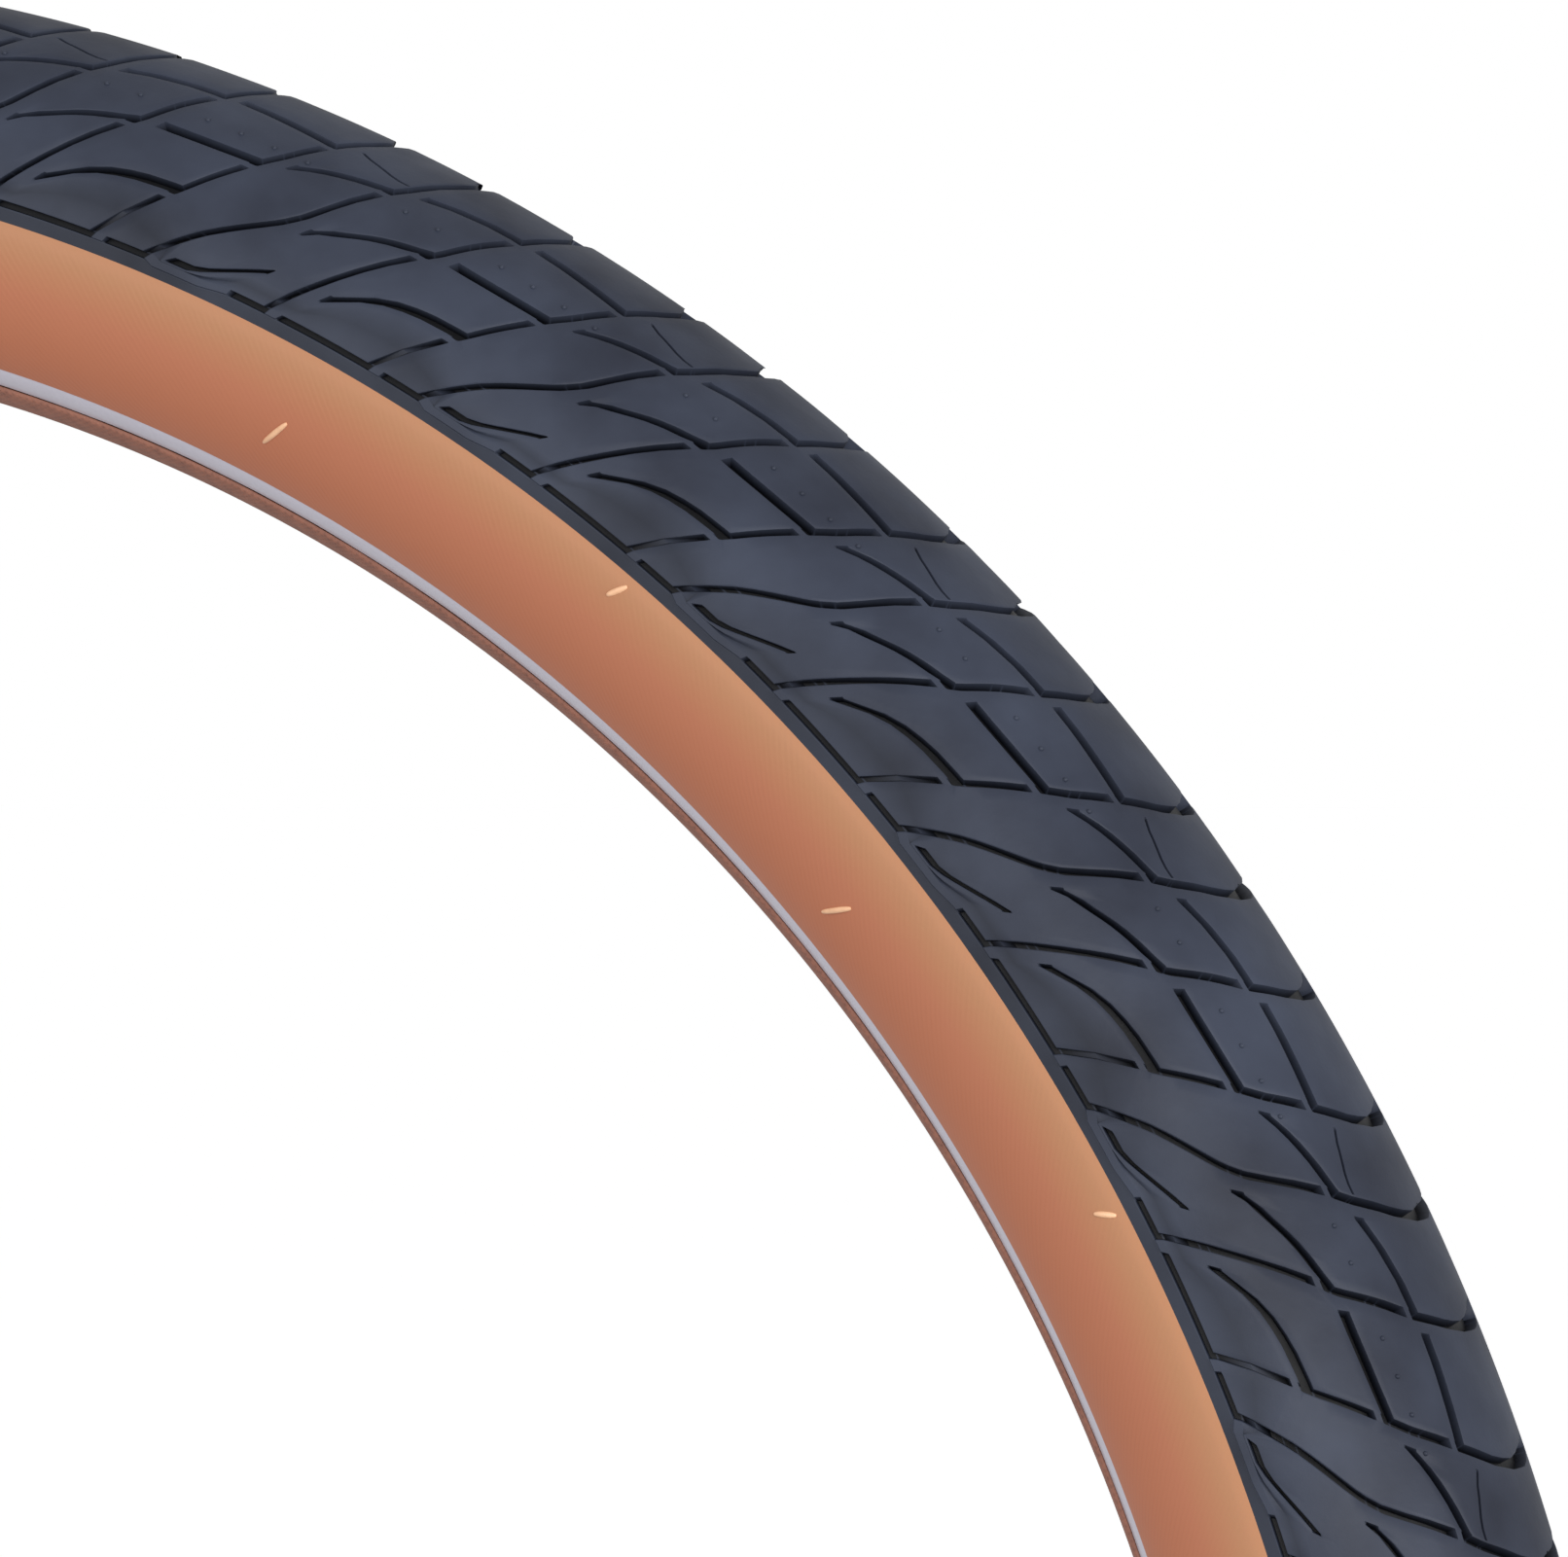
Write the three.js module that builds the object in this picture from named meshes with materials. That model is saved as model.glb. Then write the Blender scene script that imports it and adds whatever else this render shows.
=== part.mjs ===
// A wire-bead bicycle tyre, 27.5 inch by 2.4 (ETRTO 61-584), as a set of separate rings.
// Millimetres. The tyre turns about Y, stands upright with +Z up, and its centre is the origin.
// Every piece is a closed section revolved about Y, so each one is a ring.
// A section point is (radius, axial place); the left side is +Y and the right side is -Y.
import * as THREE from "three";

// Driving dimensions
const OUTER_RADIUS = 350.5;
const TOE_RADIUS = 291; // the innermost edge of the bead; the rim's bead seat is 292
const SECTION_HALF_WIDTH = 32.5; // to the tread's edges
const CROWN_HEIGHT = 30; // from the widest place to the tread's top
const SIDEWALL_ARC_RADIUS = 28;
const SIDEWALL_ARC_DEG = 57; // from the widest place down to the reflective strip
const STRIP_WIDTH = 4.9;
const BEAD_SIDE_Y = 15.5; // the flat face that presses on the rim's hook
const RING_SEGMENTS = 36;

// Layer thicknesses, and the clearance left between one layer and the next
const TREAD_CENTRE = 4;
const SKIN = 1;
const PLY = 0.5;
const BELT = 0.7;
const STRIP = 0.3;
const GAP = 0.3;

// Places round the crown, in degrees from its middle, where the layers' sections have a corner.
// All layers share them, so their flats stay parallel.
const CROWN_STEP = 18;
const BELT_EDGE = 2 * CROWN_STEP;
const TURN_UP_EDGE = 3 * CROWN_STEP;
const SIDEWALL_STEP = SIDEWALL_ARC_DEG / 2;

// Bead core: a hoop of steel cable
const CORE_RADIUS = 1.4;
const CORE_PLACE = { radius: 295.2, y: 12 };

const WIDEST_RADIUS = OUTER_RADIUS - CROWN_HEIGHT;
const radians = THREE.MathUtils.degToRad;
const point = (r, y) => new THREE.Vector2(r, y);

// Values from first to last, both included, step apart
function steps(first, last, step) {
  const count = Math.round(Math.abs(last - first) / step);
  return Array.from({ length: count + 1 }, (_, i) => first + ((last - first) * i) / count);
}

// A point of the crown, an ellipse from -90 to 90 degrees, moved inwards by depth
function crown(deg, depth) {
  const a = radians(deg);
  const normal = point(Math.cos(a) / CROWN_HEIGHT, Math.sin(a) / SECTION_HALF_WIDTH).normalize();
  const radius = WIDEST_RADIUS + CROWN_HEIGHT * Math.cos(a);
  return point(radius - depth * normal.x, SECTION_HALF_WIDTH * Math.sin(a) - depth * normal.y);
}

// The same, moved inwards by the tread's own thickness there and by depth below it.
// The tread stays thick over its shoulders, and is as thin as the sidewall at its edges.
function underTread(deg, depth) {
  const rubber = SKIN + (TREAD_CENTRE - SKIN) * (1 - (deg / 90) ** 4);
  return crown(deg, rubber + depth);
}

// A point of the left sidewall, an arc from its widest place (0 degrees) towards the bead
function sidewall(deg, depth) {
  const a = radians(deg);
  const reach = SIDEWALL_ARC_RADIUS - depth;
  const centreY = SECTION_HALF_WIDTH - SIDEWALL_ARC_RADIUS;
  return point(WIDEST_RADIUS - reach * Math.sin(a), centreY + reach * Math.cos(a));
}

// A point of the straight flank under the arc, which the reflective strip covers
function flank(distance, depth) {
  const a = radians(SIDEWALL_ARC_DEG);
  const start = sidewall(SIDEWALL_ARC_DEG, depth);
  return point(start.x - distance * Math.cos(a), start.y - distance * Math.sin(a));
}

// A point of the bead, by its height over the toe
function bead(height, y) {
  return point(TOE_RADIUS + height, y);
}

// A ring: the section is closed and wound so that its faces point outwards
function ring(name, section, material, side = 1) {
  const points = section.map((p) => point(p.x, side * p.y));
  if (THREE.ShapeUtils.area(points) < 0) points.reverse();
  points.push(points[0].clone());
  const mesh = new THREE.Mesh(new THREE.LatheGeometry(points, RING_SEGMENTS), material);
  mesh.name = name;
  return mesh;
}

const rubberBlack = new THREE.MeshStandardMaterial({ color: "#3b3f4b", roughness: 0.75 });
const rubberTan = new THREE.MeshStandardMaterial({ color: "#bd7c5e", roughness: 0.65 });
const rubberBrown = new THREE.MeshStandardMaterial({ color: "#8a5a46", roughness: 0.7 });
const stripGrey = new THREE.MeshStandardMaterial({ color: "#c9cad6", roughness: 0.45 });
const nylonCord = new THREE.MeshStandardMaterial({ color: "#a9784f", roughness: 0.85 });
const wovenYellow = new THREE.MeshStandardMaterial({ color: "#c8a64a", roughness: 0.85 });
const beadSteel = new THREE.MeshStandardMaterial({
  color: "#9a9488",
  roughness: 0.35,
  metalness: 1,
});

// The tread: a band from one widest place to the other
function makeTread() {
  const trimmed = (deg) => THREE.MathUtils.clamp(deg, -89.4, 89.4);
  const outer = steps(-90, 90, CROWN_STEP).map((deg) => crown(trimmed(deg), 0));
  const inner = steps(90, -90, CROWN_STEP).map((deg) => underTread(trimmed(deg), 0));
  return ring("tread", [...outer, ...inner], rubberBlack);
}

// The puncture belt, a woven band right under the tread
function makeBelt() {
  const places = steps(-BELT_EDGE, BELT_EDGE, CROWN_STEP);
  const top = places.map((deg) => underTread(deg, GAP));
  const under = places.toReversed().map((deg) => underTread(deg, GAP + BELT));
  return ring("puncture_belt", [...top, ...under], wovenYellow);
}

// The tan sidewall rubber, recessed along its foot for the reflective strip
function makeSidewall(name, side) {
  const places = [0.6, SIDEWALL_STEP, SIDEWALL_ARC_DEG];
  const foot = STRIP_WIDTH - 0.1;
  const section = [
    ...places.map((deg) => sidewall(deg, 0)),
    flank(0, STRIP + GAP),
    flank(foot, STRIP + GAP),
    flank(foot, SKIN),
    ...places.toReversed().map((deg) => sidewall(deg, SKIN)),
  ];
  return ring(name, section, rubberTan, side);
}

// The reflective strip, a flat tape round the foot of the sidewall
function makeStrip(name, side) {
  const top = GAP;
  const bottom = STRIP_WIDTH - 0.2;
  const section = [flank(top, 0), flank(bottom, 0), flank(bottom, STRIP), flank(top, STRIP)];
  return ring(name, section, stripGrey, side);
}

// The chafer, the rubber-coated strip round the bead that takes the rub of the rim:
// flat side face, heel, tapered base, toe and inner wall, then back inside the layer
function makeChafer(name, side) {
  const section = [
    bead(3.3, BEAD_SIDE_Y),
    bead(1.5, BEAD_SIDE_Y),
    bead(1.0, BEAD_SIDE_Y - 0.8),
    bead(0, 10.2),
    bead(0.3, 9),
    bead(1.5, 8.5),
    bead(7, 8.6),
    bead(7, 9.3),
    bead(1.6, 9.3),
    bead(1.1, 10.3),
    bead(1.9, BEAD_SIDE_Y - 0.9),
    bead(3.3, BEAD_SIDE_Y - 0.8),
  ];
  return ring(name, section, rubberBrown, side);
}

// The casing ply: one ribbon that crosses under the tread, runs down both sidewalls, wraps the
// bead cores and comes back up as a second layer that ends under the tread's edges.
// These are the left half of its two faces, from the turned-up end to the middle of the crown;
// innerLayer is the depth of the layer that faces the tube, under the sidewall's skin.
function plyFace(turnUpDepth, innerLayerDepth, aroundBead) {
  const crownPlaces = steps(TURN_UP_EDGE, 90 - CROWN_STEP, CROWN_STEP);
  const sidePlaces = steps(0, SIDEWALL_ARC_DEG, SIDEWALL_STEP);
  return [
    ...crownPlaces.map((deg) => underTread(deg, turnUpDepth)),
    ...sidePlaces.map((deg) => sidewall(deg, SKIN + turnUpDepth)),
    flank(STRIP_WIDTH, SKIN + turnUpDepth),
    ...aroundBead,
    ...sidePlaces.toReversed().map((deg) => sidewall(deg, SKIN + innerLayerDepth)),
    ...steps(90 - CROWN_STEP, 0, CROWN_STEP).map((deg) => underTread(deg, innerLayerDepth)),
  ];
}

function makeCasingPly() {
  const innerLayer = GAP + BELT + GAP;
  const outside = plyFace(GAP, innerLayer + PLY, [
    bead(2.9, 14.25),
    bead(2.3, 14.1),
    bead(1.5, 10.3),
    bead(1.9, 9.65),
    bead(7.2, 9.75),
  ]);
  const inside = plyFace(GAP + PLY, innerLayer, [
    bead(3.2, 13.75),
    bead(2.7, 13.65),
    bead(2.05, 10.4),
    bead(2.2, 10.15),
    bead(6.8, 10.25),
  ]);
  const mirrored = (points) => points.map((p) => point(p.x, -p.y)).reverse();
  const section = [
    ...outside,
    ...mirrored(outside).slice(1),
    ...mirrored(inside).toReversed(),
    ...inside.toReversed().slice(1),
  ];
  return ring("casing_ply", section, nylonCord);
}

// The bead core, inside the fold of the ply
function makeBeadCore(name, side) {
  const section = steps(0, 315, 45).map((deg) =>
    point(
      CORE_PLACE.radius + CORE_RADIUS * Math.cos(radians(deg)),
      CORE_PLACE.y + CORE_RADIUS * Math.sin(radians(deg)),
    ),
  );
  return ring(name, section, beadSteel, side);
}

const tyre = new THREE.Group();
tyre.add(makeTread(), makeBelt(), makeCasingPly());
for (const [label, side] of [
  ["left", 1],
  ["right", -1],
]) {
  tyre.add(
    makeSidewall(`sidewall_${label}`, side),
    makeStrip(`reflective_strip_${label}`, side),
    makeChafer(`bead_chafer_${label}`, side),
    makeBeadCore(`bead_core_${label}`, side),
  );
}

export default tyre;
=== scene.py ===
"""A wide bicycle tyre with tan sidewalls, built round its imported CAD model.

The tyre stands upright and turns about Y. Sizes are in metres unless a name ends in MM.
A place on the tread is (u, v): u runs round the tyre with the rolling direction, and v is the
distance from the centre line, measured over the crown's curve. The tread repeats itself round
the tyre. Its left half mirrors its right half, but its cross grooves open out near the centre line.
"""

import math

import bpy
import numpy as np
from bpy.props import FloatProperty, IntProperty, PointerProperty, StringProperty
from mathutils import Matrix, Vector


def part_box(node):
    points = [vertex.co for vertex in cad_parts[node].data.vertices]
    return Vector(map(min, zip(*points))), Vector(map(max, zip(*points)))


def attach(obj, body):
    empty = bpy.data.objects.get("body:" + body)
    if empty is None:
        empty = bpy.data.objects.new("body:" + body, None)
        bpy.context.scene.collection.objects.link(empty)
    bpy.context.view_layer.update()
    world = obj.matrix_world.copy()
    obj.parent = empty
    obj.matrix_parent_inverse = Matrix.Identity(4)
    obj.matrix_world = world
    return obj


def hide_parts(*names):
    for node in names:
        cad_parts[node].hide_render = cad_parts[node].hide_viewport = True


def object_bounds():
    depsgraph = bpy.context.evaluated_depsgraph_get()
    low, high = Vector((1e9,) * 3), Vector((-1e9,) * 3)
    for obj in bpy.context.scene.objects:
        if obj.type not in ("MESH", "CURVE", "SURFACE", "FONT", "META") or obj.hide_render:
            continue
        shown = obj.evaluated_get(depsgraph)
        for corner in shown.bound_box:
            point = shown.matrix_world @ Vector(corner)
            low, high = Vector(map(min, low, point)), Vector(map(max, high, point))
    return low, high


bl_info = {
    "name": "Tan Wall Bicycle Tyre",
    "version": (1, 0, 0),
    "blender": (4, 5, 0),
    "location": "3D View > Sidebar > Tyre",
    "description": "Builds a wide bicycle tyre with a grooved tread, tan sidewalls and its inner layers",
    "category": "Add Mesh",
}

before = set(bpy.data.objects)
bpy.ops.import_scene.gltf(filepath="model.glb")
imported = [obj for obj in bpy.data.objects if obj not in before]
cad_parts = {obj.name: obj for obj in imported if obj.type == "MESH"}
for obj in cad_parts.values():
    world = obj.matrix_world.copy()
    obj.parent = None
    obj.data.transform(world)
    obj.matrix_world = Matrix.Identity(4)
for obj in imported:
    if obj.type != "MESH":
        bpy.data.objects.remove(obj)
CAD_BOX = [[float(x) for x in corner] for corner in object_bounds()]

MM = 0.001
SIDES = (("left", 1), ("right", -1))

# Layers under the surface, as the CAD has them
SKIN = 1.0 * MM
PLY = 0.5 * MM
BELT = 0.7 * MM
STRIP = 0.3 * MM
GAP = 0.3 * MM
TAPE_LAP = 0.7 * MM
BORDER_LAP = 0.55 * MM
BORDER_DIP, BORDER_FADE = 0.32 * MM, 0.7 * MM  # the skin's thin edge on the tread
STRIP_MARGIN = 0.1 * MM
TREAD_CENTRE = 4.0 * MM
BELT_EDGE = math.radians(36)
TURN_UP_EDGE = math.radians(54)


def top(node):
    """The highest corner of a CAD node's box: x, y, z."""
    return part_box(node)[1]


# ---------------------------------------------------------------- sizes and colours


class TyreSizes(bpy.types.PropertyGroup):
    outer_radius: FloatProperty(
        name="Outer radius", description="From the axle to the top of the tread",
        default=top("tread")[2], unit="LENGTH")
    half_width: FloatProperty(
        name="Half width", description="From the centre plane to the tread's edge",
        default=top("tread")[1], unit="LENGTH")
    crown_height: FloatProperty(
        name="Crown height", description="From the widest place to the top of the tread",
        default=30 * MM, unit="LENGTH")
    sidewall_arc: FloatProperty(
        name="Sidewall arc radius", description="Radius of the sidewall's curve",
        default=28 * MM, unit="LENGTH")
    sidewall_turn: FloatProperty(
        name="Sidewall turn", description="Angle of the sidewall's arc, from the widest place",
        default=math.radians(57), subtype="ANGLE")
    strip_width: FloatProperty(
        name="Strip width", description="Width of the reflective strip with its clearances",
        default=4.9 * MM, unit="LENGTH")
    toe_radius: FloatProperty(
        name="Toe radius", description="From the axle to the innermost edge of the bead",
        default=291 * MM, unit="LENGTH")
    bead_side: FloatProperty(
        name="Bead side", description="From the centre plane to the bead's flat side face",
        default=top("bead_chafer_left")[1], unit="LENGTH")
    groove_width: FloatProperty(
        name="Groove width", description="Width of a tread groove at the surface",
        default=1.55 * MM, unit="LENGTH")
    groove_depth: FloatProperty(
        name="Groove depth", description="Depth of the tread grooves over the crown",
        default=2.0 * MM, unit="LENGTH")
    pitches: IntProperty(
        name="Pitches", description="How often the tread pattern repeats round the tyre",
        default=39)
    pattern_turn: FloatProperty(
        name="Pattern turn", description="Where the tread pattern starts, from +X towards +Z",
        default=math.radians(42.57), subtype="ANGLE")
    ring_steps: IntProperty(
        name="Ring steps", description="Flat steps round the smooth rings", default=360)


def colour_property(name, value, description):
    """A colour, as a hex string in sRGB."""
    return StringProperty(name=name, default=value, description=description)


class TyreColours(bpy.types.PropertyGroup):
    tread_dark: colour_property("Tread dark", "#20232E", "Darker areas of the tread rubber")
    tread_light: colour_property("Tread light", "#3A404F", "Lighter areas of the tread rubber")
    # Painted shade: this near-black is laid down the grooves' walls and bottoms in place of their shade
    groove: colour_property("Groove", "#04050A", "Bottoms of the grooves")
    tan_top: colour_property("Tan top", "#A5724C", "Sidewall next to the tread")
    tan_middle: colour_property("Tan middle", "#AE6C4E", "Middle of the sidewall")
    tan_foot: colour_property("Tan foot", "#B56B4A", "Sidewall next to the strip")
    cord_shadow: colour_property("Cord shadow", "#9A5638", "Lines between the cords")
    strip: colour_property("Strip", "#C9C6D2", "Reflective strip")
    chafer: colour_property("Chafer", "#9A6552", "Rubbed strip on the bead")
    chafer_dark: colour_property("Chafer dark", "#5B3A33", "Dark threads of the chafer")
    casing: colour_property("Casing", "#A9784F", "Rubbered cord of the casing")
    belt: colour_property("Belt", "#C8A64A", "Woven puncture belt")
    steel: colour_property("Bead wire", "#A79C88", "Brassed steel wire")
    mark: colour_property("Mould mark", "#F6C49C", "Small raised marks on the sidewall")
    floor: colour_property("Floor", "#F4F4F4", "Studio floor")


class TyreStage(bpy.types.PropertyGroup):
    camera_azimuth: FloatProperty(
        name="Camera azimuth", description="From the -Y side round towards +X",
        default=math.radians(28.63), subtype="ANGLE")
    camera_height: FloatProperty(
        name="Camera height", description="Height of the camera over the axle",
        default=0.2406, unit="LENGTH")
    camera_distance: FloatProperty(
        name="Camera distance", description="Level distance from the axle to the camera",
        default=2.5643, unit="LENGTH")
    aim_x: FloatProperty(
        name="Aim x", description="Place on the tyre that the camera looks at",
        default=0.20902, unit="LENGTH")
    aim_z: FloatProperty(
        name="Aim z", description="Height of the place that the camera looks at",
        default=0.22172, unit="LENGTH")
    lens: FloatProperty(
        name="Lens", description="Focal length on a 36 mm wide frame", default=368.6, unit="CAMERA")


# ---------------------------------------------------------------- sections


def points(radius, y):
    """Section points (radius, y) from two arrays or numbers that broadcast together."""
    return np.stack(np.broadcast_arrays(radius, y), -1).astype(float)


def crown(sizes, turn, depth):
    """The crown's ellipse: radius = widest + height * cos(turn), y = half width * sin(turn),
    moved inwards along its normal by depth. turn goes from -90 to 90 degrees."""
    turn = np.asarray(turn, float)
    widest = sizes.outer_radius - sizes.crown_height
    normal = np.stack([np.cos(turn) / sizes.crown_height, np.sin(turn) / sizes.half_width], -1)
    normal /= np.linalg.norm(normal, axis=-1, keepdims=True)
    surface = points(widest + sizes.crown_height * np.cos(turn), sizes.half_width * np.sin(turn))
    return surface - normal * np.asarray(depth)[..., None]


def rubber(turn):
    """Thickness of the tread: 4 mm over the crown, falling with the fourth power of turn to the
    sidewall's 1 mm at the edges."""
    return SKIN + (TREAD_CENTRE - SKIN) * (1 - (np.asarray(turn) / (math.pi / 2)) ** 4)


def sidewall(sizes, turn, depth):
    """The left sidewall's arc, from its widest place (turn 0) towards the bead."""
    reach = sizes.sidewall_arc - np.asarray(depth, float)
    widest = sizes.outer_radius - sizes.crown_height
    middle = sizes.half_width - sizes.sidewall_arc
    return points(widest - reach * np.sin(turn), middle + reach * np.cos(turn))


def flank(sizes, distance, depth):
    """The straight flank under the sidewall's arc, distance along it from the arc's end."""
    start = sidewall(sizes, sizes.sidewall_turn, depth)
    turn = sizes.sidewall_turn
    return start - np.stack(np.broadcast_arrays(distance * math.cos(turn), distance * math.sin(turn)), -1)


def foot(sizes, distance, depth):
    """Along the strip's bed: down the flank, and up the sidewall's arc where distance is negative."""
    distance = np.asarray(distance, float)
    turn = sizes.sidewall_turn + np.minimum(distance, 0) / sizes.sidewall_arc
    return sidewall(sizes, turn, depth) + (
        flank(sizes, np.maximum(distance, 0), depth) - flank(sizes, np.zeros_like(distance), depth))


def rounded(corners, radius, steps=4):
    """A closed outline with each corner replaced by a quadratic curve that starts and ends
    radius away from it, or less where an edge is short. radius is one number or one for each corner."""
    corners = np.asarray(corners, float)
    radius = np.broadcast_to(radius, len(corners))
    before, after = np.roll(corners, 1, 0) - corners, np.roll(corners, -1, 0) - corners
    reach_before = np.linalg.norm(before, axis=1)
    reach_after = np.linalg.norm(after, axis=1)
    reach = np.minimum(radius, 0.45 * np.minimum(reach_before, reach_after))
    start = corners + before * (reach / reach_before)[:, None]
    end = corners + after * (reach / reach_after)[:, None]
    t = np.linspace(0, 1, steps)[None, :, None]
    curve = (1 - t) ** 2 * start[:, None] + 2 * t * (1 - t) * corners[:, None] + t**2 * end[:, None]
    return curve.reshape(-1, 2)


# ---------------------------------------------------------------- meshes


def grid_quads(rows, columns, wrap_rows, wrap_columns):
    """Corner indices of a grid's quads, each (i, j), (i + 1, j), (i + 1, j + 1), (i, j + 1).
    A wrapped direction joins its last line to its first. Also the same corners in a grid that
    has one line more in each wrapped direction, for texture coordinates."""
    i, j = np.meshgrid(
        np.arange(rows if wrap_rows else rows - 1),
        np.arange(columns if wrap_columns else columns - 1), indexing="ij")
    corners = [(i, j), (i + 1, j), (i + 1, j + 1), (i, j + 1)]
    wide = columns + 1 if wrap_columns else columns
    faces = np.stack([(a % rows) * columns + b % columns for a, b in corners], -1).reshape(-1, 4)
    texture = np.stack([a * wide + b for a, b in corners], -1).reshape(-1, 4)
    return faces, texture


def add_piece(context, name, vertices, faces, uv, material, sharp=math.radians(40)):
    """A mesh object from vertices (n, 3), faces as lists of indices and one uv pair for each
    face corner, shaded smooth except over edges sharper than the angle."""
    mesh = bpy.data.meshes.new(name)
    mesh.from_pydata(vertices.tolist(), [], faces)
    layer = mesh.uv_layers.new(name="UVMap")
    layer.uv.foreach_set("vector", np.ascontiguousarray(uv, dtype=np.float32).ravel())
    mesh.shade_smooth()
    mesh.set_sharp_from_angle(angle=sharp)
    mesh.materials.append(material)
    mesh.validate()
    piece = bpy.data.objects.new(name, mesh)
    context.scene.collection.objects.link(piece)
    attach(piece, "root")
    return piece


def around(section, turns):
    """Section points (radius, y) carried to the angles turns, from +X towards +Z:
    x = radius * cos(turn), y = y, z = radius * sin(turn)."""
    radius, y = section[..., 0], section[..., 1]
    return np.stack([radius * np.cos(turns), np.broadcast_to(y, np.broadcast(y, turns).shape),
                     radius * np.sin(turns)], -1)


def add_ring(context, name, section, material, side=1, steps=None):
    """A closed section carried round the axle: x = radius * cos(turn), z = radius * sin(turn).
    Its points run towards +Y on the outside, and side -1 mirrors it in the centre plane.
    section is (n, 2), or (steps, n, 2) where it changes round the ring.
    The texture's u is the distance round the ring at its mean radius, and v the distance
    along the section's outline from its first point, the same on both sides."""
    sizes = context.scene.tyre_sizes
    steps = steps or sizes.ring_steps
    section = np.broadcast_to(section, (steps,) + section.shape[-2:])
    turn = -2 * math.pi * np.arange(steps) / steps
    vertices = around(section * [1, side], turn[:, None])
    outline = np.linalg.norm(np.diff(section[0], axis=0, append=section[0][:1]), axis=1)
    v = np.concatenate([[0], np.cumsum(outline)])
    u = np.linspace(0, 2 * math.pi * section[0, :, 0].mean(), steps + 1)
    faces, texture = (corners[:, ::side] for corners in grid_quads(steps, section.shape[1], True, True))
    uv = np.stack(np.meshgrid(u, v, indexing="ij"), -1).reshape(-1, 2)[texture]
    return add_piece(context, name, vertices.reshape(-1, 3), faces.tolist(), uv, material)


def tube_copies(count, rows, columns, side=1):
    """Faces of count tubes that lie one after the other in a list of vertices, each a grid of
    rings whose first and last are closed by flat caps. side -1 turns them the other way out."""
    quads, _ = grid_quads(rows, columns, False, True)
    index = np.arange(rows * columns).reshape(rows, columns)
    faces = quads.tolist() + [index[0].tolist(), index[-1][::-1].tolist()]
    return [[k + n * rows * columns for k in face[::side]] for n in range(count) for face in faces]


# ---------------------------------------------------------------- materials


def linear(colour):
    """An sRGB hex colour as linear RGBA."""
    value = np.array([int(colour[k:k + 2], 16) / 255 for k in (1, 3, 5)])
    value = np.where(value <= 0.04045, value / 12.92, ((value + 0.055) / 1.055) ** 2.4)
    return (*value.tolist(), 1.0)


def add(tree, kind, inputs=None, **settings):
    """Adds a node. inputs maps a socket's name or number to a value or to the socket that feeds it."""
    made = tree.nodes.new(kind)
    for key, value in settings.items():
        setattr(made, key, value)
    for key, value in (inputs or {}).items():
        if isinstance(value, bpy.types.NodeSocket):
            tree.links.new(value, made.inputs[key])
        else:
            made.inputs[key].default_value = value
    return made


def new_material(name, roughness, metallic=0.0, ior=1.5):
    """A material with one Principled shader. Returns the material, its tree and the shader."""
    material = bpy.data.materials.new(name)
    material.use_nodes = True
    tree = material.node_tree
    shader = tree.nodes["Principled BSDF"]
    shader.inputs["Roughness"].default_value = roughness
    shader.inputs["Metallic"].default_value = metallic
    shader.inputs["IOR"].default_value = ior
    return material, tree, shader


def surface_place(tree):
    """The piece's own texture coordinates in metres, as the vector and its u and v."""
    place = add(tree, "ShaderNodeUVMap", uv_map="UVMap").outputs["UV"]
    apart = add(tree, "ShaderNodeSeparateXYZ", {"Vector": place})
    return place, apart.outputs["X"], apart.outputs["Y"]


def noise(tree, size, detail=3.0, place=None):
    """Noise of about that grain size in metres, from 0 to 1, over Object coordinates or place."""
    vector = place or add(tree, "ShaderNodeTexCoord").outputs["Object"]
    return add(tree, "ShaderNodeTexNoise",
               {"Vector": vector, "Scale": 1 / size, "Detail": detail}).outputs["Fac"]


def calculate(tree, operation, first, second=0.0, third=0.0):
    """One Math node's result."""
    return add(tree, "ShaderNodeMath", {0: first, 1: second, 2: third}, operation=operation).outputs[0]


def blend_colours(tree, share, first, second, mode="MIX"):
    """Two colours mixed by share."""
    mix = add(tree, "ShaderNodeMix", {"Factor": share, "A": first, "B": second},
              data_type="RGBA", blend_type=mode)
    return mix.outputs["Result"]


def ramp(tree, share, stops):
    """A colour ramp through (position, hex colour) stops."""
    made = add(tree, "ShaderNodeValToRGB", {"Fac": share})
    elements = made.color_ramp.elements
    while len(elements) < len(stops):
        elements.new(0.5)
    for element, (position, colour) in zip(elements, stops):
        element.position = position
        element.color = linear(colour)
    return made.outputs["Color"]


def bump(tree, shader, height, distance, strength=1.0, normal=None):
    """Bumps of that height in metres on the shader's normal."""
    inputs = {"Height": height, "Distance": distance, "Strength": strength}
    if normal is not None:
        inputs["Normal"] = normal
    made = add(tree, "ShaderNodeBump", inputs).outputs["Normal"]
    tree.links.new(made, shader.inputs["Normal"])
    return made


def stripes(tree, place, turn, spacing):
    """Parallel ridges over the surface at that angle to u: a sine wave from 0 to 1."""
    turned = add(tree, "ShaderNodeMapping", {"Vector": place, "Rotation": (0, 0, turn)})
    across = add(tree, "ShaderNodeSeparateXYZ", {"Vector": turned.outputs["Vector"]}).outputs["X"]
    wave = calculate(tree, "SINE", calculate(tree, "MULTIPLY", across, 2 * math.pi / spacing))
    return calculate(tree, "MULTIPLY_ADD", wave, 0.5, 0.5)


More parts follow.
